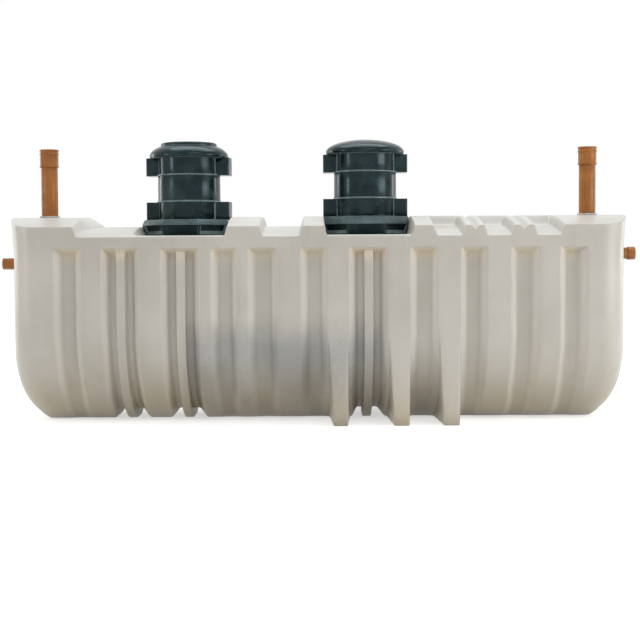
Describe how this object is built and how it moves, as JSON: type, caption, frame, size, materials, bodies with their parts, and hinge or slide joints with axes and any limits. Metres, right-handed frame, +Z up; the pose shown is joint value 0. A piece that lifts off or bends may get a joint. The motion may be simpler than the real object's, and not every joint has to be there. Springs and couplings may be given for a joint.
{
  "type": "sewage treatment plant",
  "caption": "Long moulded sewage treatment tank with ribbed sides, curved belly and saddle feet, green access turrets with lids, and brown drain and vent pipes at both ends",
  "frame": {"origin": "on the ground, under the middle of the whole plant", "axes": "+X along the tank from outlet to inlet, +Y across it to the back, +Z up"},
  "size_m": [6.114, 1.92, 2.678],
  "materials": {
    "tank_polyethylene": "natural rotomoulded polyethylene, off-white, slightly milky, satin",
    "turret_polyethylene": "dark teal-green rotomoulded polyethylene, glossy",
    "drain_pipe": "terracotta drain pipe, satin extruded plastic",
    "seal_rubber": "black moulded rubber"
  },
  "bodies": {
    "root": {"outlet_end": "tank_polyethylene", "outlet_chamber": "tank_polyethylene", "outlet_roof": "tank_polyethylene", "middle_chamber": "tank_polyethylene", "middle_roof": "tank_polyethylene", "inlet_chamber": "tank_polyethylene", "inlet_roof": "tank_polyethylene", "inlet_end": "tank_polyethylene", "outlet_joint_band": "tank_polyethylene", "inlet_joint_band": "tank_polyethylene", "outlet_turret_plate": "turret_polyethylene", "outlet_lower_neck": "turret_polyethylene", "outlet_barrel": "turret_polyethylene", "outlet_upper_neck": "turret_polyethylene", "outlet_lid": "turret_polyethylene", "outlet_hatch": "turret_polyethylene", "inlet_turret_plate": "turret_polyethylene", "inlet_lower_neck": "turret_polyethylene", "inlet_barrel": "turret_polyethylene", "inlet_upper_neck": "turret_polyethylene", "inlet_lid": "turret_polyethylene", "outlet_pipe": "drain_pipe", "inlet_pipe": "drain_pipe", "inlet_socket": "drain_pipe", "outlet_vent_pipe": "drain_pipe", "outlet_vent_socket": "drain_pipe", "inlet_vent_pipe": "drain_pipe", "inlet_vent_socket": "drain_pipe", "outlet_vent_seal": "seal_rubber", "inlet_vent_seal": "seal_rubber"}
  },
  "joints": []
}
